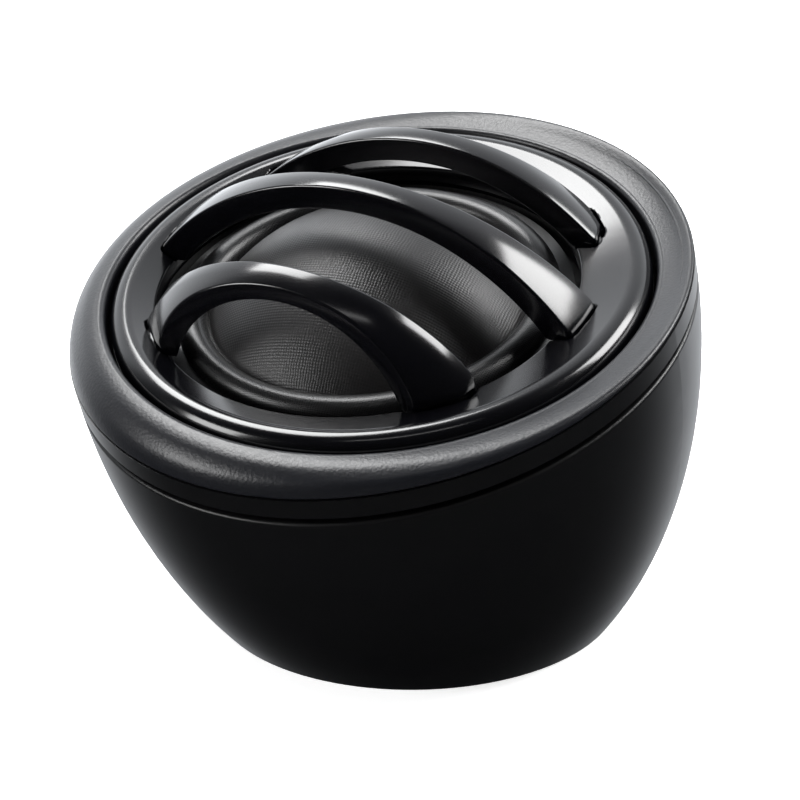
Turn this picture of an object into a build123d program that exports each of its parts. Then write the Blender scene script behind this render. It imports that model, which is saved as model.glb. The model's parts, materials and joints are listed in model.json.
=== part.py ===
from build123d import *
import math
import os

# A car tweeter in an angled surface-mount pod. Millimetres, +Z up, origin at the centre of the flat base.
# The bowl, the collar and the bezel's rim are turned about the pod's tilted axis. The face is turned about
# the capsule's axis, which leans a few degrees from it. The driver and the window over it stand a little to
# one side of the capsule's axis, and the bars to one side of that.
# In each frame a piece of revolution is drawn as an outline of (radius, height) and turned about Z.

# --- Frames ----------------------------------------------------------------------------------------
pod_tilt = 22.0
capsule_back_lean = 2.7
capsule_side_lean = 3.7
capsule_drop = 2.3
driver_place = (-0.8, -0.6)
grille_place = (-0.6, 0.5)

# --- Cuts ------------------------------------------------------------------------------------------
# A cut runs past the face it opens by "over". One that only has to be long enough is "far" long.
over = 1.0
far = 50.0

# --- Pod shape -------------------------------------------------------------------------------------
bowl_radius = 25.0
bowl_half_length = 38.5
bowl_centre_height = 26.5

# --- Mounting cup ----------------------------------------------------------------------------------
cup_top = 1.15
cup_wall = 2.0
cup_floor = 2.5
cup_bore_radius = 23.6
cup_bore_bottom = -8.0
cup_lip_round = 0.25
wire_hole_radius = 4.0
mount_hole_radius = 2.1
mount_hole_spacing = 22.0
mount_boss_radius = 4.4
mount_boss_top = 4.2
rear_slot_width = 5.0
rear_slot_height = 2.0

# --- Bayonet: studs in the cup, slots in the collar ------------------------------------------------
stud_count = 3
stud_inner_radius = 22.95
stud_root = 0.3
stud_width_angle = 4.0
stud_bottom = -7.05
stud_top = -6.05
twist_angle = 20.0
slot_side_gap_angle = 1.0
slot_height_gap = 0.2

# --- Collar ----------------------------------------------------------------------------------------
fit_gap = 0.05
collar_radius_below_band = cup_bore_radius - fit_gap
band_bottom = 1.75
band_top = 3.35
spigot_bottom = -7.8
collar_lower_bore = 22.45
collar_ledge_bore = 22.0
collar_ledge_thickness = 1.2

# --- Groove gasket ---------------------------------------------------------------------------------
gasket_outer_radius = 24.3
gasket_bottom = 1.25
gasket_top = band_bottom
gasket_seat_gap = 0.02

# --- Bezel -----------------------------------------------------------------------------------------
bezel_spigot_radius = 23.95
bezel_spigot_bottom = 2.4
bezel_lip_radius = 21.7
bezel_lip_round = 0.45
# Each station of the crown: share of the capsule's lean, radius, height.
bezel_stations = [
    (0.00, 24.82, 1.8),
    (0.00, 24.80, 3.5),
    (0.35, 24.32, 4.25),
    (0.75, 23.35, 4.5),
    (1.00, 22.20, 4.45),
]

# --- Swivel ----------------------------------------------------------------------------------------
swivel_height = 2.5
carrier_outer_radius = 22.8
carrier_inner_radius = 21.8
carrier_bottom = 0.05
carrier_top = 5.0
ball_radius = 21.6
pin_radius = 0.8
pin_inner_end = 19.9
pin_outer_end = 22.7
pin_gap = 0.03

# --- Capsule housing -------------------------------------------------------------------------------
housing_top = 5.2
housing_bottom = -3.6
housing_bore_radius = 18.9
housing_flange_top = 0.5
housing_flange_bottom = -1.3

# --- Grille ring and bars --------------------------------------------------------------------------
ring_edge_radius = 21.35
ring_edge_round = 1.35
ring_foot_radius = 21.42
ring_crest_radius = ring_edge_radius - ring_edge_round
ring_crest_height = 7.15
ring_dish_height = 6.1
ring_dish_sag = 0.12
ring_hole_radius = 16.8
ring_plate_bottom = 4.8
ring_spigot_shoulder = 4.4
ring_spigot_inner = 17.4
ring_spigot_outer = 18.8
ring_spigot_bottom = 4.0
bar_reach = 18.35
bar_foot_width = 4.4
bar_waist_width = 2.0
bar_thickness = 2.1
bar_foot_height = 5.7
bar_shoulder_height = 6.8
# Each bar: name, place across the face, height of its crest.
bars = [
    ("grille_bar_front", -12.5, 14.6),
    ("grille_bar_middle", -1.1, 15.2),
    ("grille_bar_rear", 10.8, 12.5),
]
notch_gap = 0.1
notch_corner = 0.5

# --- Diaphragm and its frame -----------------------------------------------------------------------
dome_base_radius = 12.75
dome_base_height = 4.45
dome_rise = 6.2
dome_cloth = 0.35
surround_inner_radius = 12.9
surround_roll_outer = 15.3
surround_flange_outer = 16.3
surround_cloth = 0.3
frame_inner_radius = 13.9
frame_outer_radius = 18.8
frame_bottom = 0.55
frame_land_height = 4.1
frame_land_outer = 16.4
frame_step_height = 2.3
gasket_ring_inner = 17.5
gasket_ring_outer = 18.6

# --- Voice coil and motor --------------------------------------------------------------------------
former_inner_radius = 12.7
former_outer_radius = 12.85
former_bottom = -1.2
former_top = 4.4
coil_outer_radius = 13.15
coil_top = 0.7
pole_radius = 12.35
pole_bottom = -1.5
pole_top = 0.5
pole_bevel = 0.3
magnet_radius = 11.5
magnet_bottom = -5.0
yoke_inner_radius = 13.6
yoke_outer_radius = 15.8
yoke_bottom = -7.4
yoke_corner = 1.2
felt_radius = 10.5
felt_bottom = 0.55
felt_top = 2.6

# --- Fasteners and terminals -----------------------------------------------------------------------
screw_count = 3
screw_circle = 17.4
screw_first_angle = 30.0
screw_hole_radius = 0.75
screw_shank_radius = 0.7
screw_head_radius = 1.2
screw_seat_gap = 0.1
screw_head_height = 0.8
screw_drive_length = 1.6
screw_drive_width = 0.35
screw_drive_depth = 0.3
screw_tip = -3.2
screw_boss_radius = 1.45
terminal_offset = 2.9
terminal_radius = 17.05
board_length = 8.8
board_width = 2.2
board_thickness = 1.2
blade_thickness = 0.5
blade_bottom = -8.6
blade_top = -1.4
blade_widths = {"terminal_positive": 2.8, "terminal_negative": 2.0}
blade_slot_gap = 0.05
blade_hole_radius = 0.5
blade_hole_height = 1.6
lead_radius = 0.2
lead_height = 2.0
lead_start_gap = 0.1
lead_inner_radius = 13.6
lead_bend = 1.0
lead_channel_width = 0.9
lead_hole_width = 1.0
lead_hole_length = 6.0


# --- Frames ----------------------------------------------------------------------------------------
def base_section_shift():
    """How far the base's centre lies behind the bowl's centre, for a tilted ellipsoid cut level."""
    tilt = math.radians(pod_tilt)
    across = 1 / bowl_radius**2
    along = 1 / bowl_half_length**2
    mixed = math.sin(tilt) * math.cos(tilt) * (across - along)
    level = math.cos(tilt) ** 2 * across + math.sin(tilt) ** 2 * along
    return bowl_centre_height * mixed / level


pod = Location((0, -base_section_shift(), bowl_centre_height)) * Rot(X=pod_tilt)


def leaned(share):
    """The lean of the capsule's axis from the pod's, or a share of it."""
    return Rot(X=-capsule_back_lean * share, Y=capsule_side_lean * share)


seat = leaned(1) * Pos(0, 0, -capsule_drop)
capsule = pod * seat
driver = capsule * Pos(*driver_place, 0)
grille = capsule * Pos(*grille_place, 0)


# --- Shared shapes ---------------------------------------------------------------------------------
def turned(outline):
    """Turns a closed outline of (radius, height) about Z."""
    return revolve(Plane.XZ * make_face(outline), Axis.Z)


def ring(inner, outer, bottom, top):
    """A plain ring of rectangular section."""
    return turned(Polyline((inner, bottom), (outer, bottom), (outer, top), (inner, top), close=True))


def disc(radius, bottom, top):
    """A plain disc between two heights."""
    return Pos(0, 0, (bottom + top) / 2) * Cylinder(radius, top - bottom)


def ellipsoid_below(radius, half_length, top):
    """The part of a turned ellipse that lies below a height."""
    edge_angle = math.degrees(math.asin(top / half_length))
    side = EllipticalCenterArc((0, 0), radius, half_length, start_angle=-90, arc_size=90 + edge_angle)
    return turned(side + Polyline(side @ 1, (0, top), side @ 0))


def ball_slice(radius, centre_height, bottom, top):
    """The slice of a ball between two heights."""
    return (Pos(0, 0, centre_height) * Sphere(radius)) & disc(radius + over, bottom, top)


def spread(shape, count, first_angle=0.0):
    """Copies of a shape, evenly spaced about Z."""
    return [Rot(Z=first_angle + 360 * step / count) * shape for step in range(count)]


def sector(inner, outer, bottom, top, start_angle, sweep):
    """A part of a ring between two angles."""
    profile = Plane.XZ * make_face(
        Polyline((inner, bottom), (outer, bottom), (outer, top), (inner, top), close=True)
    )
    return Rot(Z=start_angle) * revolve(profile, Axis.Z, sweep)


# --- Pod pieces, in the pod's frame unless said ----------------------------------------------------
def mounting_cup():
    """The bowl, in the row's frame: level floor, screw bosses, wire hole and bayonet studs."""
    shell = ellipsoid_below(bowl_radius, bowl_half_length, cup_top)
    rim = shell.edges().filter_by(GeomType.CIRCLE).sort_by(Axis.Z)[-1]
    shell = pod * fillet(rim, cup_lip_round)
    cavity = ellipsoid_below(bowl_radius - cup_wall, bowl_half_length - cup_wall, cup_top)
    above_base = Pos(0, 0, far) * Box(2 * far, 2 * far, 2 * far)
    above_floor = Pos(0, 0, cup_floor) * above_base
    cup = (shell & above_base) - (pod * cavity & above_floor)
    cup -= pod * disc(cup_bore_radius, cup_bore_bottom, cup_top + over)
    places = [Pos(side * mount_hole_spacing / 2, 0, 0) for side in (-1, 1)]
    for place in places:
        cup += place * disc(mount_boss_radius, cup_floor / 2, mount_boss_top)
        cup -= place * disc(mount_hole_radius, -over, mount_boss_top + over)
    cup -= disc(wire_hole_radius, -over, cup_floor + over)
    cup -= Pos(0, bowl_radius / 2, 0) * Box(rear_slot_width, bowl_radius, rear_slot_height * 2)
    stud = sector(
        stud_inner_radius, cup_bore_radius + stud_root, stud_bottom, stud_top,
        -stud_width_angle / 2, stud_width_angle,
    )
    for copy in spread(stud, stud_count):
        cup += pod * copy
    return cup


def bayonet_slot():
    """The way a stud takes through the collar's spigot: up from its bottom edge, then round."""
    inner = collar_lower_bore - over
    outer = cup_bore_radius + over
    half_stud = stud_width_angle / 2 + slot_side_gap_angle
    run = sector(
        inner, outer, stud_bottom - slot_height_gap, stud_top + slot_height_gap,
        -half_stud - twist_angle, 2 * half_stud + twist_angle,
    )
    entry = sector(
        inner, outer, spigot_bottom - over, stud_top + slot_height_gap,
        -half_stud - twist_angle, 2 * half_stud,
    )
    return run + entry


def collar_ring():
    """The smooth band, with the spigot that locks in the cup and the bore that holds the carrier."""
    band = ellipsoid_below(bowl_radius, bowl_half_length, band_top)
    body = band & disc(bowl_radius + over, band_bottom, band_top)
    body += disc(collar_radius_below_band, spigot_bottom, band_bottom)
    body -= disc(bezel_spigot_radius + fit_gap, bezel_spigot_bottom, band_top + over)
    body -= seat * disc(carrier_outer_radius + fit_gap, 0, far)
    body -= seat * disc(collar_ledge_bore, -collar_ledge_thickness - over, over)
    body -= seat * disc(collar_lower_bore, -far, -collar_ledge_thickness)
    for slot in spread(bayonet_slot(), stud_count):
        body -= slot
    return body


def groove_gasket():
    """The thin rubber ring at the bottom of the dark groove."""
    return ring(collar_radius_below_band + gasket_seat_gap, gasket_outer_radius, gasket_bottom, gasket_top)


def bezel_ring():
    """The crowned trim ring. Its rim follows the pod and its lip follows the leaned capsule."""
    sections = []
    for share, radius, height in bezel_stations:
        sections.append(leaned(share) * Pos(0, 0, height) * make_face(CenterArc((0, 0), radius, 0, 360)))
    crown = loft(sections)
    above_band = disc(bowl_radius + over, band_top, band_top + far)
    spigot = disc(bezel_spigot_radius, bezel_spigot_bottom, band_top + over)
    body = leaned(1).inverse() * ((crown & above_band) + (crown & spigot))
    body -= disc(bezel_lip_radius, -far, far)
    body -= disc(carrier_outer_radius + fit_gap, -far, carrier_top - capsule_drop + fit_gap)
    bore_circles = body.edges().filter_by(GeomType.CIRCLE).group_by(SortBy.RADIUS)[0]
    lip = bore_circles.sort_by(Axis.Z)[-1]
    return leaned(1) * fillet(lip, bezel_lip_round)


# --- Swivel pieces, in the capsule's frame ---------------------------------------------------------
def trunnion_bore(radius):
    """A bar along X through both trunnions."""
    return Pos(0, 0, swivel_height) * Rot(Y=90) * Cylinder(radius, far)


def swivel_carrier():
    """The ring that turns in the collar and carries the capsule on two pins."""
    body = ring(carrier_inner_radius, carrier_outer_radius, carrier_bottom, carrier_top)
    return body - trunnion_bore(pin_radius)


def trunnion_pins():
    """The two pins, fixed in the carrier."""
    middle = (pin_inner_end + pin_outer_end) / 2
    pin = Pos(middle, 0, swivel_height) * Rot(Y=90) * Cylinder(pin_radius, pin_outer_end - pin_inner_end)
    return spread(pin, 2)


def capsule_housing():
    """The ball-sided shell that holds the motor and stands under the grille ring."""
    aside = Pos(*driver_place, 0)
    body = ball_slice(ball_radius, swivel_height, housing_bottom, housing_top)
    body -= aside * disc(housing_bore_radius, housing_flange_top, housing_top + over)
    body -= aside * disc(housing_bore_radius, housing_bottom - over, housing_flange_bottom)
    boss = Pos(screw_circle, 0, 0) * disc(screw_boss_radius, housing_bottom, housing_flange_bottom)
    hole = Pos(screw_circle, 0, 0) * disc(screw_shank_radius, screw_tip, housing_flange_top + over)
    for copy in spread(boss, screw_count, screw_first_angle):
        body += aside * copy
    body -= aside * disc(yoke_outer_radius + fit_gap, housing_bottom - over, housing_flange_top + over)
    for copy in spread(hole, screw_count, screw_first_angle):
        body -= aside * copy
    for place in terminal_places():
        body -= aside * place * lead_hole()
    return body - trunnion_bore(pin_radius + pin_gap)


# --- Grille ring, in the capsule's frame, and bars, in the grille's ---------------------------------
def bar_end(offset):
    """How far from the grille's middle its circle is met, at a place across the face."""
    return math.sqrt(bar_reach**2 - offset**2)


def notch(offset, side):
    """The pocket in the ring that one foot of a bar stands in, with two round corners."""
    width = bar_foot_width + 2 * notch_gap
    strip = Pos(side * bar_reach / 2, offset) * Rectangle(bar_reach, width)
    floor = strip & Circle(bar_reach + notch_gap)
    corners = floor.vertices().sort_by(Axis.X)
    floor = fillet(corners[-2:] if side > 0 else corners[:2], notch_corner)
    return Pos(0, 0, bar_foot_height) * extrude(floor, ring_crest_height)


def dish():
    """What is cut from the ring's top: from the crest's circle down to the window, which is off centre."""
    sections = []
    for share, sag in ((0, 0), (0.5, ring_dish_sag), (1, 0)):
        radius = ring_hole_radius + share * (ring_crest_radius - ring_hole_radius)
        height = ring_dish_height + share * (ring_crest_height - ring_dish_height) - sag
        place = Pos(driver_place[0] * (1 - share), driver_place[1] * (1 - share), height)
        sections.append(place * make_face(CenterArc((0, 0), radius, 0, 360)))
    return loft(sections)


def grille_ring():
    """The gloss ring: round outer edge, shallow dish, and a spigot that locates it in the housing."""
    aside = Pos(*driver_place, 0)
    foot = (ring_foot_radius, housing_top)
    edge_start = (ring_edge_radius, ring_crest_height - ring_edge_round)
    crest = (ring_crest_radius, ring_crest_height)
    round_edge = TangentArc(edge_start, crest, tangent=(0, 1))
    rest = Polyline(crest, (0, ring_crest_height), (0, housing_top), foot, edge_start)
    spigot = turned(Polyline(
        (ring_hole_radius, ring_plate_bottom), (ring_spigot_inner, ring_spigot_shoulder),
        (ring_spigot_inner, ring_spigot_bottom), (ring_spigot_outer, ring_spigot_bottom),
        (ring_spigot_outer, housing_top), (ring_hole_radius, housing_top), close=True,
    ))
    body = turned(round_edge + rest) + aside * spigot
    body -= dish()
    body -= aside * disc(ring_hole_radius, 0, 2 * ring_crest_height)
    for _, offset, _ in bars:
        for side in (-1, 1):
            body -= Pos(*grille_place, 0) * notch(offset, side)
    return body


def grille_bar(offset, crest):
    """An arched bar with flared feet, cut from an arch outline, a plan outline and the grille's circle."""
    reach = bar_end(offset)
    longest = bar_end(max(abs(offset) - bar_foot_width / 2, 0))
    under_reach = reach - bar_thickness
    top = ThreePointArc((-reach, bar_shoulder_height), (0, crest), (reach, bar_shoulder_height))
    under = ThreePointArc(
        (-under_reach, bar_foot_height), (0, crest - bar_thickness), (under_reach, bar_foot_height)
    )
    outline = top + under
    for side in (-1, 1):
        outline += Polyline(
            (side * reach, bar_shoulder_height), (side * longest, bar_shoulder_height),
            (side * longest, bar_foot_height), (side * under_reach, bar_foot_height),
        )
    arch = extrude(Plane.XZ * make_face(outline), bar_foot_width, both=True)
    foot = bar_foot_width / 2
    waist = bar_waist_width / 2
    sides = ThreePointArc((-longest, -foot), (0, -waist), (longest, -foot))
    sides += ThreePointArc((-longest, foot), (0, waist), (longest, foot))
    ends = Line((-longest, -foot), (-longest, foot)) + Line((longest, -foot), (longest, foot))
    plan = (Pos(0, offset) * make_face(sides + ends)) & Circle(bar_reach)
    plan = fillet(plan.vertices(), notch_corner)
    return (Pos(0, offset, 0) * arch) & extrude(plan, crest + over)


def face_gasket():
    """The foam ring squeezed between the grille ring's spigot and the diaphragm frame."""
    return ring(gasket_ring_inner, gasket_ring_outer, frame_step_height, ring_spigot_bottom)


# --- Diaphragm, in the driver's frame -------------------------------------------------------------
def dome():
    """The thin dome, a cap of a sphere."""
    radius = (dome_base_radius**2 + dome_rise**2) / (2 * dome_rise)
    centre = dome_base_height + dome_rise - radius
    outer = Pos(0, 0, centre) * Sphere(radius)
    inner = Pos(0, 0, centre) * Sphere(radius - dome_cloth)
    return (outer - inner) & disc(bowl_radius, dome_base_height, dome_base_height + dome_rise + over)


def surround():
    """The half roll between the dome and its bonded flange."""
    middle = (surround_inner_radius + surround_roll_outer) / 2
    outer_roll = (surround_roll_outer - surround_inner_radius) / 2
    inner_roll = outer_roll - surround_cloth
    floor = frame_land_height
    outline = Polyline(
        (surround_roll_outer - surround_cloth, floor), (surround_flange_outer, floor),
        (surround_flange_outer, floor + surround_cloth), (surround_roll_outer, floor + surround_cloth),
    )
    over = ThreePointArc(
        (surround_roll_outer, floor + surround_cloth), (middle, floor + surround_cloth + outer_roll),
        (surround_inner_radius, floor + surround_cloth),
    )
    edge = Polyline(
        (surround_inner_radius, floor + surround_cloth), (surround_inner_radius, floor),
        (surround_inner_radius + surround_cloth, floor),
    )
    under = ThreePointArc(
        (surround_inner_radius + surround_cloth, floor), (middle, floor + inner_roll),
        (surround_roll_outer - surround_cloth, floor),
    )
    return turned(outline + over + edge + under)


def diaphragm_frame():
    """The stepped ring that the surround is bonded to, screwed to the housing's flange."""
    body = turned(Polyline(
        (frame_inner_radius, frame_bottom), (frame_outer_radius, frame_bottom),
        (frame_outer_radius, frame_step_height), (frame_land_outer, frame_step_height),
        (frame_land_outer, frame_land_height), (frame_inner_radius, frame_land_height), close=True,
    ))
    hole = Pos(screw_circle, 0, 0) * disc(screw_hole_radius, frame_bottom - over, frame_step_height + over)
    seat = Pos(screw_circle, 0, 0) * disc(
        screw_head_radius + screw_seat_gap, frame_step_height - screw_head_height, frame_land_height + over
    )
    for copy in spread(hole + seat, screw_count, screw_first_angle):
        body -= copy
    for place in terminal_places():
        channel = Box(
            lead_channel_width, bowl_radius, 2 * lead_channel_width,
            align=(Align.CENTER, Align.MAX, Align.CENTER),
        )
        body -= place * Pos(0, lead_hole_width / 2, lead_height) * channel
        body -= place * lead_hole()
    return body


# --- Voice coil and motor, in the driver's frame --------------------------------------------------
def coil_former():
    """The thin tube that carries the winding."""
    return ring(former_inner_radius, former_outer_radius, former_bottom, former_top)


def voice_coil():
    """The winding on the former."""
    return ring(former_outer_radius, coil_outer_radius, former_bottom, coil_top)


def pole_plate():
    """The round plate on the magnet, with a small bevel that faces the dome."""
    return turned(Polyline(
        (0, pole_bottom), (pole_radius, pole_bottom), (pole_radius, pole_top - pole_bevel),
        (pole_radius - pole_bevel, pole_top), (0, pole_top), close=True,
    ))


def neodymium_disc():
    """The magnet."""
    return disc(magnet_radius, magnet_bottom, pole_bottom)


def yoke_cup():
    """The steel cup that closes the magnetic path, with a round lower edge."""
    flat_end = (yoke_outer_radius - yoke_corner, yoke_bottom)
    wall_start = (yoke_outer_radius, yoke_bottom + yoke_corner)
    rest = Polyline(
        wall_start, (yoke_outer_radius, pole_top), (yoke_inner_radius, pole_top),
        (yoke_inner_radius, magnet_bottom), (0, magnet_bottom), (0, yoke_bottom), flat_end,
    )
    return turned(rest + RadiusArc(flat_end, wall_start, -yoke_corner))


def damping_felt():
    """The felt pad on the pole plate."""
    return disc(felt_radius, felt_bottom, felt_top)


# --- Fasteners and terminals, in the driver's frame -----------------------------------------------
def frame_screws():
    """The screws through the diaphragm frame into the housing's bosses."""
    head_bottom = frame_step_height - screw_head_height
    head = disc(screw_head_radius, head_bottom, frame_step_height)
    slot = Box(screw_drive_length, screw_drive_width, 2 * screw_drive_depth)
    drive = Pos(0, 0, frame_step_height) * (slot + Rot(Z=90) * slot)
    screw = head + disc(screw_shank_radius, screw_tip, head_bottom) - drive
    return spread(Pos(screw_circle, 0, 0) * screw, screw_count, screw_first_angle)


def terminal_places():
    """Where the two blades stand: the positive one first."""
    return [Pos(terminal_offset, terminal_radius, 0), Pos(-terminal_offset, terminal_radius, 0)]


def lead_hole():
    """The square hole that a lead takes through the flange and the diaphragm frame."""
    return Box(lead_hole_width, lead_hole_width, lead_hole_length)


def blade(name):
    """A flat terminal blade, wider on the positive side, with a hole near its tip."""
    width = blade_widths[name]
    height = blade_top - blade_bottom
    plate = Pos(0, 0, (blade_top + blade_bottom) / 2) * Box(width, blade_thickness, height)
    hole = Rot(X=90) * Cylinder(blade_hole_radius, 2 * blade_thickness)
    return plate - Pos(0, 0, blade_bottom + blade_hole_height) * hole


def terminal_board():
    """The insulating board that holds both blades under the flange."""
    middle = housing_flange_bottom - fit_gap - board_thickness / 2
    board = Pos(0, terminal_radius, middle) * Box(board_length, board_width, board_thickness)
    for place, name in zip(terminal_places(), blade_widths):
        width = blade_widths[name] + 2 * blade_slot_gap
        board -= place * Box(width, blade_thickness + 2 * blade_slot_gap, far)
    return board


def lead_out_wires():
    """The two wires from the blades, up through the flange and in towards the former."""
    wires = []
    for place in terminal_places():
        start = (place.position.X, terminal_radius, blade_top + lead_start_gap)
        corner = (place.position.X, terminal_radius, lead_height)
        end = (place.position.X, lead_inner_radius, lead_height)
        path = FilletPolyline(start, corner, end, radius=lead_bend)
        section = Plane(origin=start, z_dir=(0, 0, 1)) * Circle(lead_radius)
        wires.append(sweep(section, path))
    return wires


# --- Writing the files -----------------------------------------------------------------------------
def write(name, frame, shape):
    """Writes one node, placed from its own frame into the row's."""
    pieces = shape if isinstance(shape, list) else shape.solids()
    placed = [frame * piece for piece in pieces]
    node = placed[0] if len(placed) == 1 else Compound(children=placed)
    export_step(node, "parts/" + name + ".step")


row = Location()
os.makedirs("parts", exist_ok=True)
write("mounting_cup", row, mounting_cup())
write("collar_ring", pod, collar_ring())
write("groove_gasket", pod, groove_gasket())
write("bezel_ring", pod, bezel_ring())
write("swivel_carrier", capsule, swivel_carrier())
write("trunnion_pins", capsule, trunnion_pins())
write("capsule_housing", capsule, capsule_housing())
write("grille_ring", capsule, grille_ring())
for bar_name, bar_place, bar_crest in bars:
    write(bar_name, grille, grille_bar(bar_place, bar_crest))
write("face_gasket", driver, face_gasket())
write("dome", driver, dome())
write("surround", driver, surround())
write("diaphragm_frame", driver, diaphragm_frame())
write("coil_former", driver, coil_former())
write("voice_coil", driver, voice_coil())
write("pole_plate", driver, pole_plate())
write("neodymium_disc", driver, neodymium_disc())
write("yoke_cup", driver, yoke_cup())
write("damping_felt", driver, damping_felt())
write("frame_screws", driver, frame_screws())
write("terminal_board", driver, terminal_board())
for blade_name, blade_place in zip(blade_widths, terminal_places()):
    write(blade_name, driver, blade_place * blade(blade_name))
write("lead_out_wires", driver, lead_out_wires())
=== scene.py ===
import json
import math

import bmesh
import bpy
from mathutils import Matrix, Vector


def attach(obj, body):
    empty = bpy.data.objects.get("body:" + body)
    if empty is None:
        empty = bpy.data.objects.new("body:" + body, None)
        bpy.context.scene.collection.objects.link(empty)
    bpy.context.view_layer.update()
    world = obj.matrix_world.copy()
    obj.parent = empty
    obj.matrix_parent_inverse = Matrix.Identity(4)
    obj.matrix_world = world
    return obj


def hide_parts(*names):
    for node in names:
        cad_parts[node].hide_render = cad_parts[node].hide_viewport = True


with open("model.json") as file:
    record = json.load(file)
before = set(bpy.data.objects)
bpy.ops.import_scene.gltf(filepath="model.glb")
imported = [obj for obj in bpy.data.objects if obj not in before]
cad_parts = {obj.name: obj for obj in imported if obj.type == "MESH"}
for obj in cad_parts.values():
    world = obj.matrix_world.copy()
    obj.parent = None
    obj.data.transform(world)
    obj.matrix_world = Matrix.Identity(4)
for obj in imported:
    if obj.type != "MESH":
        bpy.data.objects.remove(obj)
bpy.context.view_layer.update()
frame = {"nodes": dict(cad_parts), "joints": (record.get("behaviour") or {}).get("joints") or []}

# A car tweeter in an angled pod. Shapes and grain sizes are in millimetres, and shapes stand in the frames
# that the joints give. Lights, the floor and the camera are in metres, as Blender has them.

# --- Driving values --------------------------------------------------------------------------------
MM = 0.001
ROUND_SEGMENTS = 360
SHARP_ANGLE = 40.0
WELD_DISTANCE = 0.0005

# Where the driver, the grille and the tilt axis stand in the capsule's frame.
DRIVER_PLACE = (-0.8, -0.6)
GRILLE_PLACE = (-0.6, 0.5)
SWIVEL_HEIGHT = 2.5

# How far the capsule's axis leans from the pod's, in degrees.
BACK_LEAN = 2.7
SIDE_LEAN = 3.7

# The bezel's outline in the pod's frame, as (share of the capsule's lean, radius, height).
BEZEL_FOOT = [(0.0, 23.90, 2.45), (0.0, 23.90, 3.38), (0.0, 24.62, 3.38), (0.0, 24.74, 3.42)]
BEZEL_CROWN = [
    (0.00, 24.81, 3.52),
    (0.04, 24.78, 3.68),
    (0.18, 24.60, 4.00),
    (0.35, 24.32, 4.25),
    (0.55, 23.88, 4.41),
    (0.75, 23.35, 4.50),
    (0.90, 22.75, 4.50),
    (1.00, 22.20, 4.45),
]
BEZEL_CURVE_STEPS = 6
BEZEL_LIP_RADIUS = 21.7
BEZEL_LIP_ROUND = 0.45
BEZEL_LIP_TOP = 4.45
BEZEL_STEP_HEIGHT = 2.8
BEZEL_STEP_RADIUS = 22.9

# The grille ring, in the capsule's frame.
WINDOW_RADIUS = 16.8
WINDOW_EDGE_ROUND = 0.22
RING_BOTTOM = 5.2
RING_WALL_BOTTOM = 4.8
DISH_HEIGHT = 6.1
RING_APEX = (21.37, 7.67)
RING_EDGE_ROUND = 1.35
RING_FOOT_RADIUS = 21.42
SPIGOT_INNER = 17.4
SPIGOT_OUTER = 18.8
SPIGOT_SHOULDER = 4.4
SPIGOT_BOTTOM = 4.0
RING_SEGMENTS = 1080
RING_CORNER_STEPS = 10
DISH_STEPS = 44

# The arched bars and the notches they stand in, in the grille's frame.
BAR_REACH = 18.35
BAR_FOOT_HALF = 2.2
BAR_WAIST_HALF = 1.0
BAR_THICKNESS = 2.1
BAR_FOOT_HEIGHT = 5.7
BAR_SHOULDER_HEIGHT = 6.8
BAR_CROWN = 0.10
BAR_EDGE_ROUND = 0.24
BAR_CORNER_ROUND = 0.5
BAR_CORNER_STEPS = 6
BAR_STATIONS = 96
# How far a foot's outer corner may reach past the end of the bar's centre line.
BAR_TOE = 0.4
# Each bar as (node, place across the face, height of its crest, how far its front edge drops).
BARS = [
    ("grille_bar_front", -12.5, 14.6, 0.7),
    ("grille_bar_middle", -1.1, 15.2, 0.0),
    ("grille_bar_rear", 10.8, 12.5, 0.0),
]
NOTCH_GAP = 0.1
NOTCH_LIP = 0.11

# The dome and its surround, in the driver's frame.
DOME_BASE_RADIUS = 12.75
DOME_BASE_HEIGHT = 4.45
DOME_RISE = 6.2
DOME_CLOTH = 0.3
DOME_BEAD = 0.17
DOME_ROWS = 72
SURROUND_INNER = 12.9
SURROUND_ROLL_OUTER = 15.3
SURROUND_FLANGE_OUTER = 16.3
SURROUND_FLOOR = 4.1
SURROUND_CLOTH = 0.3
ROLL_STEPS = 28

# The stretch of the lines that turning leaves on metal, and the size of the winding's waves.
TURNING_STRETCH = (1, 1, 14)
WINDING_WAVE_SIZE = 3.0

# The cloth's weave: pitch of its threads, turn on the dome in degrees, how far the threads wander.
CLOTH_MAP = "cloth"
WEAVE_PITCH = 0.34
WEAVE_TURN = 38.0
WEAVE_WANDER = 0.10

# The floor: half its side, how far it is below the object's base, its own light.
FLOOR_HALF = 3.0
FLOOR_GAP = 0.00002
FLOOR_GLOW = 0.8

# The camera: where it stands, what it looks at, its lens.
CAMERA_PLACE = (0.06896, -0.12985, 0.07066)
CAMERA_AIM = (0.00149, -0.00590, 0.01979)
CAMERA_LENS = 83.5
SENSOR_WIDTH = 36.0

# The lights face a point this high on the capsule's axis.
LIGHT_TARGET_HEIGHT = 8.0
# Each light as (name, direction in the capsule's frame, distance, size, power).
SOFTBOXES = [
    ("softbox_back_left", (-0.48, 0.41, 0.77), 0.45, (0.20, 0.22), 1.9),
    ("softbox_back_right", (0.56, 0.62, 0.55), 0.45, (0.20, 0.20), 1.8),
    ("softbox_front_left", (-0.64, -0.60, 0.48), 0.45, (0.16, 0.18), 0.9),
    ("strip_overhead", (0.15, -0.18, 0.97), 0.45, (0.22, 0.025), 0.05),
]
# A broad light that the gloss doesn't show.
FILL_LIGHT = ("fill_overhead", (0.0, 0.2, 1.0), 1.4, (1.6, 1.6), 6.0)

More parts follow.
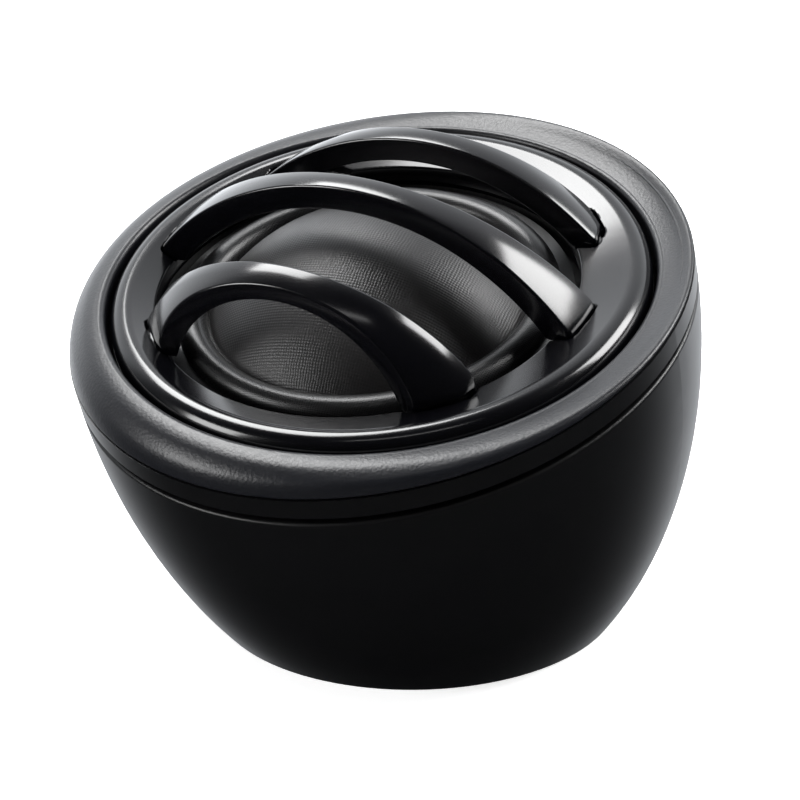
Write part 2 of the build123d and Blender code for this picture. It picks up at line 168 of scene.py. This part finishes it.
# The room: where its back is in the capsule's frame, and how bright the camera sees it. Everything else sees
# a brightness from (share towards the back, brightness) times a factor from (share upward, factor).
ROOM_BACK = (-0.45, 0.89, 0.0)
ROOM_COLOR = (0.93, 0.96, 1.0, 1)
ROOM_SEEN = 1.12
ROOM_BY_DEPTH = [(-1, 0.01), (-0.35, 0.03), (0.10, 0.05), (0.36, 0.30), (0.60, 1.5), (1, 2.1)]
ROOM_BY_HEIGHT = [(-1, 0.03), (-0.75, 0.5), (-0.5, 0.95), (0.3, 1.0), (0.85, 0.65), (1, 0.6)]


# --- Frames ----------------------------------------------------------------------------------------
def frame_at(origin, z_axis, x_axis):
    """A frame in millimetres, with its origin in metres and its X as near x_axis as Z allows."""
    z = Vector(z_axis).normalized()
    x = (Vector(x_axis) - z * z.dot(Vector(x_axis))).normalized()
    turned = Matrix((x, z.cross(x), z)).transposed().to_4x4()
    return Matrix.Translation(Vector(origin)) @ turned @ Matrix.Scale(MM, 4)


joints = {joint["name"]: joint for joint in frame["joints"]}
twist = joints["collar_twist"]
tilt = joints["capsule_tilt"]
capsule_axis = Vector(joints["capsule_turn"]["axis"]).normalized()
capsule_origin = Vector(tilt["pos_m"]) - capsule_axis * SWIVEL_HEIGHT * MM
POD = frame_at(twist["pos_m"], twist["axis"], (1, 0, 0))
CAPSULE = frame_at(capsule_origin, capsule_axis, tilt["axis"])
DRIVER = CAPSULE @ Matrix.Translation((*DRIVER_PLACE, 0))
GRILLE = CAPSULE @ Matrix.Translation((*GRILLE_PLACE, 0))


def leaned(share):
    """The lean of the capsule's axis from the pod's, or a share of it."""
    back = Matrix.Rotation(math.radians(-BACK_LEAN * share), 4, "X")
    side = Matrix.Rotation(math.radians(SIDE_LEAN * share), 4, "Y")
    return back @ side


# --- Mesh helpers ----------------------------------------------------------------------------------
def round_corners(corners, steps=8):
    """A closed outline through corners of (across, up, radius), with an arc at each that has a radius."""
    points = []
    for index, (across, up, radius) in enumerate(corners):
        corner = Vector((across, up))
        if radius == 0:
            points.append(corner)
            continue
        before = (Vector(corners[index - 1][:2]) - corner).normalized()
        after = (Vector(corners[(index + 1) % len(corners)][:2]) - corner).normalized()
        half = before.angle(after) / 2
        centre = corner + (before + after).normalized() * radius / math.sin(half)
        start = corner + before * radius / math.tan(half) - centre
        end = corner + after * radius / math.tan(half) - centre
        sweep = -start.angle_signed(end)
        for step in range(steps + 1):
            points.append(centre + Matrix.Rotation(sweep * step / steps, 2) @ start)
    return points


def smooth_through(points, steps):
    """Points on a Catmull-Rom curve through the points given."""
    spans = [Vector(point) for point in (points[0], *points, points[-1])]
    curve = []
    for before, start, end, after in zip(spans, spans[1:], spans[2:], spans[3:]):
        for step in range(steps):
            t = step / steps
            bend = (start - end) * 3 + after - before
            lean = before * 2 - start * 5 + end * 4 - after
            curve.append(start + ((end - before) * t + lean * t * t + bend * t * t * t) / 2)
    curve.append(spans[-1])
    return [tuple(point) for point in curve]


def circle(radius, height):
    """Points round a level circle about Z."""
    angles = [2 * math.pi * step / ROUND_SEGMENTS for step in range(ROUND_SEGMENTS)]
    return [Vector((radius * math.cos(angle), radius * math.sin(angle), height)) for angle in angles]


def piece_from_rows(name, rows, place, wrap=False, cap=False):
    """A smooth piece through closed rows of points.

    wrap joins the last row to the first, and cap fills the first and the last.
    """
    width = len(rows[0])
    points = [place @ point for row in rows for point in row]
    faces = []
    for index in range(len(rows) if wrap else len(rows) - 1):
        this = index * width
        following = (index + 1) % len(rows) * width
        for step in range(width):
            beside = (step + 1) % width
            faces.append((this + step, this + beside, following + beside, following + step))
    if cap:
        faces.append(tuple(range(width)))
        faces.append(tuple(range(len(points) - width, len(points))))
    mesh = bpy.data.meshes.new(name)
    mesh.from_pydata(points, [], faces)
    tidy = bmesh.new()
    tidy.from_mesh(mesh)
    bmesh.ops.remove_doubles(tidy, verts=tidy.verts, dist=WELD_DISTANCE * MM)
    bmesh.ops.recalc_face_normals(tidy, faces=tidy.faces)
    tidy.to_mesh(mesh)
    tidy.free()
    mesh.shade_smooth()
    mesh.set_sharp_from_angle(angle=math.radians(SHARP_ANGLE))
    piece = bpy.data.objects.new(name, mesh)
    bpy.context.scene.collection.objects.link(piece)
    return piece


def stand_for(piece, node, body, material):
    """Puts a piece on its body in place of a CAD node and a material."""
    piece.data.materials.append(material)
    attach(piece, body)
    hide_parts(node)


# --- Shader helpers --------------------------------------------------------------------------------
class Shader:
    """A material with one Principled shader, and short calls for the nodes that feed it."""

    def __init__(self, name, color, roughness, metallic=0.0, **sockets):
        self.material = bpy.data.materials.new(name)
        self.material.use_nodes = True
        self.tree = self.material.node_tree
        self.main = self.tree.nodes["Principled BSDF"]
        self.main.inputs["Base Color"].default_value = (*color, 1)
        self.main.inputs["Roughness"].default_value = roughness
        self.main.inputs["Metallic"].default_value = metallic
        for socket, value in sockets.items():
            self.main.inputs[socket.replace("_", " ")].default_value = value
        self.color = color
        self.roughness = roughness
        self.places = self.node("ShaderNodeTexCoord").outputs["Object"]

    def node(self, kind):
        return self.tree.nodes.new(kind)

    def link(self, source, target):
        self.tree.links.new(source, target)

    def noise(self, size, detail, vector=None):
        """Noise with features of a size in millimetres."""
        texture = self.node("ShaderNodeTexNoise")
        texture.inputs["Scale"].default_value = 1 / (size * MM)
        texture.inputs["Detail"].default_value = detail
        self.link(vector or self.places, texture.inputs["Vector"])
        return texture.outputs["Fac"]

    def cells(self, size):
        """Soft rounded cells of a size in millimetres, high at their borders."""
        texture = self.node("ShaderNodeTexVoronoi")
        texture.feature = "SMOOTH_F1"
        texture.inputs["Scale"].default_value = 1 / (size * MM)
        texture.inputs["Smoothness"].default_value = 0.6
        self.link(self.places, texture.inputs["Vector"])
        return texture.outputs["Distance"]

    def combine(self, operation, first, second=0.0):
        """One Math node, from two sockets or numbers."""
        node = self.node("ShaderNodeMath")
        node.operation = operation
        for index, value in enumerate((first, second)):
            if isinstance(value, (int, float)):
                node.inputs[index].default_value = value
            else:
                self.link(value, node.inputs[index])
        return node.outputs[0]

    def spread(self, source, low, high):
        """Maps 0..1 to low..high."""
        node = self.node("ShaderNodeMapRange")
        node.inputs["To Min"].default_value = low
        node.inputs["To Max"].default_value = high
        self.link(source, node.inputs["Value"])
        return node.outputs["Result"]

    def vary_color(self, source, dark, light):
        """Varies the base colour between a darker and a lighter shade."""
        mix = self.node("ShaderNodeMix")
        mix.data_type = "RGBA"
        mix.inputs["A"].default_value = (*[channel * dark for channel in self.color], 1)
        mix.inputs["B"].default_value = (*[channel * light for channel in self.color], 1)
        self.link(source, mix.inputs["Factor"])
        self.link(mix.outputs["Result"], self.main.inputs["Base Color"])

    def vary_roughness(self, source, swing):
        """Varies the roughness by swing to each side."""
        roughness = self.spread(source, self.roughness - swing, self.roughness + swing)
        self.link(roughness, self.main.inputs["Roughness"])

    def bump(self, source, depth, strength=1.0):
        """Relief of a depth in millimetres. A second call adds to the first."""
        node = self.node("ShaderNodeBump")
        node.inputs["Strength"].default_value = strength
        node.inputs["Distance"].default_value = depth * MM
        self.link(source, node.inputs["Height"])
        normal = self.main.inputs["Normal"]
        if normal.is_linked:
            self.link(normal.links[0].from_socket, node.inputs["Normal"])
        self.link(node.outputs["Normal"], normal)


# --- Materials -------------------------------------------------------------------------------------
def satin_plastic(name, color, roughness):
    """Smooth moulded plastic with a very fine texture and faint handling marks."""
    shader = Shader(name, color, roughness, Specular_IOR_Level=0.5)
    shader.vary_roughness(shader.noise(size=6, detail=2), swing=0.03)
    shader.vary_color(shader.noise(size=9, detail=2), dark=0.9, light=1.1)
    shader.bump(shader.noise(size=0.10, detail=2), depth=0.002)
    return shader.material


def leather_grain_plastic():
    """The bezel: soft black paint over a fine leather-like grain."""
    shader = Shader("leather_grain_plastic", (0.005, 0.0054, 0.0075), 0.34, Specular_IOR_Level=0.5)
    cells = shader.cells(size=0.24)
    pores = shader.noise(size=0.12, detail=3)
    shader.vary_color(pores, dark=0.75, light=1.2)
    shader.vary_roughness(cells, swing=0.04)
    shader.bump(cells, depth=0.014, strength=0.7)
    shader.bump(pores, depth=0.008, strength=0.6)
    return shader.material


def piano_black():
    """The ring and the bars: gloss black with a faint orange peel."""
    shader = Shader("piano_black", (0.0015, 0.0015, 0.0022), 0.16, Specular_IOR_Level=0.6)
    shader.vary_roughness(shader.noise(size=3, detail=3), swing=0.03)
    shader.bump(shader.noise(size=0.9, detail=1), depth=0.0012)
    return shader.material


def grained(name, color, roughness, grain, depth, **sockets):
    """A surface with one grain size that varies its colour, roughness and relief."""
    shader = Shader(name, color, roughness, **sockets)
    texture = shader.noise(size=grain, detail=5)
    shader.vary_color(texture, dark=0.7, light=1.25)
    shader.vary_roughness(texture, swing=roughness / 4)
    shader.bump(texture, depth)
    return shader.material


def brushed_metal(name, color, roughness):
    """Metal with fine lines from turning."""
    shader = Shader(name, color, roughness, metallic=1.0)
    stretch = shader.node("ShaderNodeMapping")
    stretch.inputs["Scale"].default_value = TURNING_STRETCH
    shader.link(shader.places, stretch.inputs["Vector"])
    lines = shader.noise(size=0.6, detail=4, vector=stretch.outputs["Vector"])
    shader.vary_color(lines, dark=0.8, light=1.1)
    shader.vary_roughness(lines, swing=roughness * 0.3)
    shader.bump(lines, depth=0.004)
    return shader.material


def wound_copper():
    """The winding: turns of fine wire along the former."""
    shader = Shader("wound_copper", (0.72, 0.35, 0.18), 0.25, metallic=1.0)
    waves = shader.node("ShaderNodeTexWave")
    waves.bands_direction = "Z"
    waves.inputs["Scale"].default_value = 1 / (WINDING_WAVE_SIZE * MM)
    waves.inputs["Distortion"].default_value = 0.2
    shader.link(shader.places, waves.inputs["Vector"])
    shader.vary_color(waves.outputs["Fac"], dark=0.5, light=1.1)
    shader.bump(waves.outputs["Fac"], depth=0.03)
    return shader.material


def weave_height(shader):
    """Plain-weave relief from the UV map, which is in millimetres of cloth. Returns 0..1."""
    cloth = shader.node("ShaderNodeUVMap")
    cloth.uv_map = CLOTH_MAP
    split = shader.node("ShaderNodeSeparateXYZ")
    shader.link(cloth.outputs["UV"], split.inputs["Vector"])
    wobble = shader.spread(shader.noise(size=0.8, detail=3), -WEAVE_WANDER, WEAVE_WANDER)
    waves = []
    for axis in ("X", "Y"):
        place = shader.combine("ADD", split.outputs[axis], wobble)
        turns = shader.combine("MULTIPLY", place, 2 * math.pi / WEAVE_PITCH)
        waves.append(shader.combine("SINE", turns))
    crossing = shader.combine("MULTIPLY", waves[0], waves[1])
    return shader.combine("ADD", shader.combine("MULTIPLY", crossing, 0.5), 0.5)


def silk_cloth(name, color, roughness, depth):
    """Coated silk: each thread catches the light on its own, through relief and roughness, and through
    painted highlight on the weave's crests and painted shade in its hollows.
    """
    shader = Shader(name, color, roughness, Sheen_Weight=0.03, Sheen_Roughness=0.4, Specular_IOR_Level=0.5)
    weave_relief_and_shade = weave_height(shader)
    # Painted shade and painted highlight: the base colour is darker in the weave's hollows and lighter on
    # its crests.
    shader.vary_color(weave_relief_and_shade, dark=0.35, light=1.5)
    shader.vary_roughness(weave_relief_and_shade, swing=0.1)
    shader.bump(shader.noise(size=0.05, detail=2), depth=0.006)
    shader.bump(weave_relief_and_shade, depth)
    return shader.material


BOWL_PLASTIC = satin_plastic("bowl_plastic", (0.0022, 0.0022, 0.0026), roughness=0.38)
BAND_PLASTIC = satin_plastic("band_plastic", (0.0022, 0.0022, 0.0026), roughness=0.36)
BEZEL_PLASTIC = leather_grain_plastic()
GLOSS_PLASTIC = piano_black()
# Both cloths get painted shade in the weave's hollows and painted highlight on its crests from silk_cloth.
SILK = silk_cloth("silk", (0.0055, 0.0048, 0.0050), roughness=0.40, depth=0.020)
ROLL_CLOTH = silk_cloth("roll_cloth", (0.002, 0.002, 0.0024), roughness=0.34, depth=0.002)
RUBBER = grained("rubber", (0.008, 0.008, 0.008), roughness=0.6, grain=0.3, depth=0.01)
FOAM = grained("foam", (0.02, 0.02, 0.02), roughness=0.9, grain=0.25, depth=0.08)
ACETAL = grained("acetal", (0.05, 0.05, 0.052), roughness=0.35, grain=0.5, depth=0.004)
NYLON = grained("glass_filled_nylon", (0.014, 0.014, 0.015), roughness=0.42, grain=0.2, depth=0.006)
AMBER_FILM = grained("amber_film", (0.35, 0.16, 0.03), roughness=0.25, grain=2, depth=0.004)
WINDING = wound_copper()
ZINC = brushed_metal("bright_zinc", (0.45, 0.46, 0.48), roughness=0.32)
NICKEL = brushed_metal("nickel_plate", (0.62, 0.62, 0.62), roughness=0.14)
FELT = grained("wool_felt", (0.10, 0.10, 0.11), roughness=0.95, grain=0.15, depth=0.12, Sheen_Weight=0.4)
PHENOLIC = grained("brown_phenolic", (0.22, 0.10, 0.04), roughness=0.45, grain=0.3, depth=0.01)
TINNED = brushed_metal("tinned_brass", (0.70, 0.58, 0.30), roughness=0.28)

NODE_MATERIALS = {
    "mounting_cup": BOWL_PLASTIC,
    "collar_ring": BAND_PLASTIC,
    "groove_gasket": RUBBER,
    "swivel_carrier": ACETAL,
    "trunnion_pins": ZINC,
    "capsule_housing": NYLON,
    "face_gasket": FOAM,
    "diaphragm_frame": NYLON,
    "coil_former": AMBER_FILM,
    "voice_coil": WINDING,
    "pole_plate": ZINC,
    "neodymium_disc": NICKEL,
    "yoke_cup": ZINC,
    "damping_felt": FELT,
    "frame_screws": ZINC,
    "terminal_board": PHENOLIC,
    "terminal_positive": TINNED,
    "terminal_negative": TINNED,
    "lead_out_wires": WINDING,
}


def finish_cad_nodes():
    """Gives each CAD node that stays its material."""
    for name, material in NODE_MATERIALS.items():
        mesh = frame["nodes"][name].data
        mesh.materials.clear()
        mesh.materials.append(material)


# --- Bezel -----------------------------------------------------------------------------------------
def bezel():
    """The crowned trim ring, from its foot on the collar over the crown and down into the bore."""
    lip = round_corners([
        (BEZEL_STEP_RADIUS, BEZEL_LIP_TOP, 0),
        (BEZEL_LIP_RADIUS, BEZEL_LIP_TOP, BEZEL_LIP_ROUND),
        (BEZEL_LIP_RADIUS, BEZEL_STEP_HEIGHT, 0),
        (BEZEL_STEP_RADIUS, BEZEL_STEP_HEIGHT, 0),
    ])[1:]
    outline = BEZEL_FOOT + smooth_through(BEZEL_CROWN, BEZEL_CURVE_STEPS)
    outline += [(1.0, point.x, point.y) for point in lip]
    rows = [[leaned(share) @ point for point in circle(radius, height)] for share, radius, height in outline]
    piece = piece_from_rows("bezel_crown", rows, POD, wrap=True)
    stand_for(piece, "bezel_ring", "collar", BEZEL_PLASTIC)


# --- Grille ring -----------------------------------------------------------------------------------
def ring_outline(shift):
    """The ring's outline of (radius, height) where the window stands shift further out than its radius."""
    window = WINDOW_RADIUS + shift
    outline = round_corners([
        (window, DISH_HEIGHT, WINDOW_EDGE_ROUND),
        (*RING_APEX, RING_EDGE_ROUND),
        (RING_FOOT_RADIUS, RING_BOTTOM, 0),
        (SPIGOT_OUTER + shift, RING_BOTTOM, 0),
        (SPIGOT_OUTER + shift, SPIGOT_BOTTOM, 0),
        (SPIGOT_INNER + shift, SPIGOT_BOTTOM, 0),
        (SPIGOT_INNER + shift, SPIGOT_SHOULDER, 0),
        (window, RING_WALL_BOTTOM, 0),
    ], steps=RING_CORNER_STEPS)
    window_edge = outline[:RING_CORNER_STEPS + 1]
    rest = outline[RING_CORNER_STEPS + 1:]
    dish = [window_edge[-1].lerp(rest[0], step / DISH_STEPS) for step in range(1, DISH_STEPS)]
    return window_edge + dish + rest


def window_shift(angle):
    """How much further out the window's edge is than its radius, in a direction from the capsule's axis."""
    along = DRIVER_PLACE[0] * math.cos(angle) + DRIVER_PLACE[1] * math.sin(angle)
    across = DRIVER_PLACE[0] ** 2 + DRIVER_PLACE[1] ** 2 - along**2
    return along + math.sqrt(WINDOW_RADIUS**2 - across) - WINDOW_RADIUS


def notch_depth_share(x, y):
    """1 inside a notch, 0 outside, and between them over its rounded lip."""
    x -= GRILLE_PLACE[0]
    y -= GRILLE_PLACE[1]
    share = 0.0
    for _, offset, _, _ in BARS:
        side = abs(y - offset) - BAR_FOOT_HALF - NOTCH_GAP + BAR_CORNER_ROUND
        toe = bar_half_length(offset) + BAR_TOE
        end = max(math.hypot(x, y) - BAR_REACH, abs(x) - toe) - NOTCH_GAP + BAR_CORNER_ROUND
        outside = math.hypot(max(side, 0), max(end, 0)) + min(max(side, end), 0) - BAR_CORNER_ROUND
        t = min(max((NOTCH_LIP - outside) / (2 * NOTCH_LIP), 0), 1)
        share = max(share, t * t * (3 - 2 * t))
    return share


def grille_ring():
    """The gloss ring: round outer edge, shallow off-centre dish, and six notches with soft lips."""
    rows = []
    for step in range(RING_SEGMENTS):
        angle = 2 * math.pi * step / RING_SEGMENTS
        row = []
        for radius, height in ring_outline(window_shift(angle)):
            x = radius * math.cos(angle)
            y = radius * math.sin(angle)
            if height > BAR_FOOT_HEIGHT:
                height -= (height - BAR_FOOT_HEIGHT) * notch_depth_share(x, y)
            row.append(Vector((x, y, height)))
        rows.append(row)
    piece = piece_from_rows("grille_dish", rows, CAPSULE, wrap=True)
    stand_for(piece, "grille_ring", "capsule", GLOSS_PLASTIC)


# --- Bars ------------------------------------------------------------------------------------------
def bar_half_length(offset):
    """How far a bar's centre line reaches to each side."""
    return math.sqrt(BAR_REACH**2 - offset**2)


def arch_height(x, reach, foot, crest):
    """The height of a circular arch at a place along it, level beyond its reach."""
    if abs(x) >= reach:
        return foot
    rise = crest - foot
    radius = (reach**2 + rise**2) / (2 * rise)
    return crest - radius + math.sqrt(radius**2 - x**2)


def corner_loss(distance, radius):
    """How much a round corner takes off at a distance from the end."""
    if distance >= radius:
        return 0.0
    return radius - math.sqrt(radius**2 - (radius - distance) ** 2)


def bar_rows(offset, crest, drop):
    """Sections of one bar, from its left foot to its right, each a rounded rectangle.

    The drop of the front edge fades towards the feet.
    """
    reach = bar_half_length(offset)
    rows = []
    for step in range(BAR_STATIONS + 1):
        share = -math.cos(math.pi * step / BAR_STATIONS)
        middle = share * reach
        from_end = reach - abs(middle)
        half = BAR_WAIST_HALF + (BAR_FOOT_HALF - BAR_WAIST_HALF) * (middle / reach) ** 2
        half -= corner_loss(from_end, BAR_CORNER_ROUND)
        fall = drop * (1 - (middle / reach) ** 2)
        top = arch_height(middle, reach, BAR_SHOULDER_HEIGHT, crest) - corner_loss(from_end, BAR_EDGE_ROUND)
        under = arch_height(middle, reach - BAR_THICKNESS, BAR_FOOT_HEIGHT, crest - BAR_THICKNESS)
        section = round_corners([
            (-half, under, BAR_EDGE_ROUND),
            (half, under, BAR_EDGE_ROUND),
            (half, top, BAR_EDGE_ROUND),
            (0, top + BAR_CROWN - fall / 2, 0),
            (-half, top - fall, BAR_EDGE_ROUND),
        ], steps=BAR_CORNER_STEPS)
        row = []
        for across, up in section:
            y = offset + across
            x = share * min(math.sqrt(BAR_REACH**2 - y**2), reach + BAR_TOE)
            row.append(Vector((x, y, up)))
        rows.append(row)
    return rows


def bars():
    """The three arched bars."""
    for node, offset, crest, drop in BARS:
        rows = bar_rows(offset, crest, drop)
        piece = piece_from_rows(node.replace("grille_bar", "arched_bar"), rows, GRILLE, cap=True)
        stand_for(piece, node, "capsule", GLOSS_PLASTIC)


# --- Diaphragm -------------------------------------------------------------------------------------
def lay_cloth(piece, sphere_radius):
    """Writes a UV map in millimetres of cloth, laid over the dome from its crown."""
    to_driver = DRIVER.inverted()
    turn = Matrix.Rotation(math.radians(WEAVE_TURN), 2)
    layer = piece.data.uv_layers.new(name=CLOTH_MAP)
    places = []
    for vertex in piece.data.vertices:
        local = to_driver @ vertex.co
        flat = Vector((local.x, local.y))
        reach = flat.length
        length = sphere_radius * math.asin(min(reach / sphere_radius, 1))
        places.append(turn @ (flat * (length / reach if reach > 0 else 1)))
    for loop in piece.data.loops:
        layer.data[loop.index].uv = places[loop.vertex_index]


def dome():
    """The silk dome: a cap of a sphere with a thickness, and a bead at its edge that covers the former."""
    radius = (DOME_BASE_RADIUS**2 + DOME_RISE**2) / (2 * DOME_RISE)
    centre = DOME_BASE_HEIGHT + DOME_RISE - radius
    edge = math.asin(DOME_BASE_RADIUS / radius)
    rows = []
    for shell, order in ((radius, range(DOME_ROWS + 1)), (radius - DOME_CLOTH, range(DOME_ROWS, -1, -1))):
        for step in order:
            angle = edge * step / DOME_ROWS
            rows.append(circle(shell * math.sin(angle), centre + shell * math.cos(angle)))
        if shell == radius:
            rows.append(circle(DOME_BASE_RADIUS + DOME_BEAD, DOME_BASE_HEIGHT - DOME_BEAD / 4))
            rows.append(circle(DOME_BASE_RADIUS + DOME_BEAD, DOME_BASE_HEIGHT - DOME_BEAD))
    piece = piece_from_rows("silk_dome", rows, DRIVER)
    lay_cloth(piece, radius)
    stand_for(piece, "dome", "diaphragm", SILK)
    return radius


def surround(sphere_radius):
    """The half roll of coated cloth, from the dome's edge to the flange bonded on the frame."""
    middle = (SURROUND_INNER + SURROUND_ROLL_OUTER) / 2
    outer = (SURROUND_ROLL_OUTER - SURROUND_INNER) / 2
    top = SURROUND_FLOOR + SURROUND_CLOTH
    outline = [(SURROUND_FLANGE_OUTER, SURROUND_FLOOR), (SURROUND_FLANGE_OUTER, top)]
    for roll, base, order in (
        (outer, top, range(ROLL_STEPS + 1)),
        (outer - SURROUND_CLOTH, SURROUND_FLOOR, range(ROLL_STEPS, -1, -1)),
    ):
        for step in order:
            angle = math.pi * step / ROLL_STEPS
            outline.append((middle + roll * math.cos(angle), base + roll * math.sin(angle)))
    piece = piece_from_rows("surround_roll", [circle(r, z) for r, z in outline], DRIVER, wrap=True)
    lay_cloth(piece, sphere_radius)
    stand_for(piece, "surround", "capsule", ROLL_CLOTH)


# --- Stage, lights and camera ----------------------------------------------------------------------
def floor():
    """A plain pale floor, whose light stays out of the gloss. From below it is clear."""
    corners = [(x * FLOOR_HALF, y * FLOOR_HALF, -FLOOR_GAP) for x, y in ((-1, -1), (1, -1), (1, 1), (-1, 1))]
    mesh = bpy.data.meshes.new("floor")
    mesh.from_pydata(corners, [], [(0, 1, 2, 3)])
    shader = Shader("pale_floor", (0.93, 0.93, 0.93), 0.9)
    shader.vary_color(shader.noise(size=500, detail=1), dark=0.99, light=1.0)
    shader.main.inputs["Emission Color"].default_value = (1, 1, 1, 1)
    shader.main.inputs["Emission Strength"].default_value = FLOOR_GLOW
    one_sided = shader.node("ShaderNodeMixShader")
    shader.link(shader.node("ShaderNodeNewGeometry").outputs["Backfacing"], one_sided.inputs["Fac"])
    shader.link(shader.main.outputs["BSDF"], one_sided.inputs[1])
    shader.link(shader.node("ShaderNodeBsdfTransparent").outputs["BSDF"], one_sided.inputs[2])
    shader.link(one_sided.outputs["Shader"], shader.tree.nodes["Material Output"].inputs["Surface"])
    mesh.materials.append(shader.material)
    plane = bpy.data.objects.new("floor", mesh)
    plane.visible_glossy = False
    bpy.context.scene.collection.objects.link(plane)


def softbox(name, direction, distance, size, power):
    """An area light in a direction given in the capsule's frame, that faces the object."""
    target = CAPSULE @ Vector((0, 0, LIGHT_TARGET_HEIGHT))
    toward = (CAPSULE.to_3x3() @ Vector(direction)).normalized()
    data = bpy.data.lights.new(name, "AREA")
    data.shape = "RECTANGLE"
    data.size = size[0]
    data.size_y = size[1]
    data.energy = power
    lamp = bpy.data.objects.new(name, data)
    lamp.location = target + toward * distance
    lamp.rotation_euler = toward.to_track_quat("Z", "Y").to_euler()
    bpy.context.scene.collection.objects.link(lamp)
    return lamp


def lights():
    """Soft boxes where the gloss shows them, and a broad fill that only lights what is matt."""
    for light in SOFTBOXES:
        softbox(*light)
    softbox(*FILL_LIGHT).visible_glossy = False


def room():
    """The world: pale behind the object, dim in front and below. The camera sees it as white."""
    world = bpy.data.worlds.new("pale_room")
    world.use_nodes = True
    bpy.context.scene.world = world
    tree = world.node_tree
    background = tree.nodes["Background"]
    background.inputs["Color"].default_value = ROOM_COLOR
    places = tree.nodes.new("ShaderNodeTexCoord").outputs["Generated"]
    behind = tree.nodes.new("ShaderNodeVectorMath")
    behind.operation = "DOT_PRODUCT"
    behind.inputs[1].default_value = (CAPSULE.to_3x3() @ Vector(ROOM_BACK)).normalized()
    tree.links.new(places, behind.inputs[0])
    split = tree.nodes.new("ShaderNodeSeparateXYZ")
    tree.links.new(places, split.inputs["Vector"])
    backdrop = ramp(tree, behind.outputs["Value"], ROOM_BY_DEPTH)
    level = ramp(tree, split.outputs["Z"], ROOM_BY_HEIGHT)
    brightness = tree.nodes.new("ShaderNodeMath")
    brightness.operation = "MULTIPLY"
    tree.links.new(backdrop, brightness.inputs[0])
    tree.links.new(level, brightness.inputs[1])
    path = tree.nodes.new("ShaderNodeLightPath")
    choose = tree.nodes.new("ShaderNodeMix")
    choose.inputs["B"].default_value = ROOM_SEEN
    tree.links.new(brightness.outputs[0], choose.inputs["A"])
    tree.links.new(path.outputs["Is Camera Ray"], choose.inputs["Factor"])
    tree.links.new(choose.outputs["Result"], background.inputs["Strength"])


def ramp(tree, source, stops):
    """A smooth grey ramp over -1..1, from stops of (place, value)."""
    share = tree.nodes.new("ShaderNodeMapRange")
    share.inputs["From Min"].default_value = -1
    tree.links.new(source, share.inputs["Value"])
    node = tree.nodes.new("ShaderNodeFloatCurve")
    curve = node.mapping.curves[0]
    node.mapping.use_clip = False
    for index, (place, value) in enumerate(stops):
        at = (place + 1) / 2
        if index < 2:
            curve.points[index].location = (at, value)
        else:
            curve.points.new(at, value)
    node.mapping.update()
    tree.links.new(share.outputs["Result"], node.inputs["Value"])
    return node.outputs["Value"]


def camera():
    """The camera, at the angle of the product view."""
    data = bpy.data.cameras.new("camera")
    data.lens = CAMERA_LENS
    data.sensor_width = SENSOR_WIDTH
    data.clip_start = 0.01
    viewer = bpy.data.objects.new("camera", data)
    viewer.location = CAMERA_PLACE
    back = Vector(CAMERA_PLACE) - Vector(CAMERA_AIM)
    viewer.rotation_euler = back.to_track_quat("Z", "Y").to_euler()
    bpy.context.scene.collection.objects.link(viewer)
    bpy.context.scene.camera = viewer


# --- The scene -------------------------------------------------------------------------------------
camera()
finish_cad_nodes()
bezel()
grille_ring()
bars()
surround(dome())
floor()
lights()
room()
bpy.context.scene.view_settings.view_transform = "Standard"
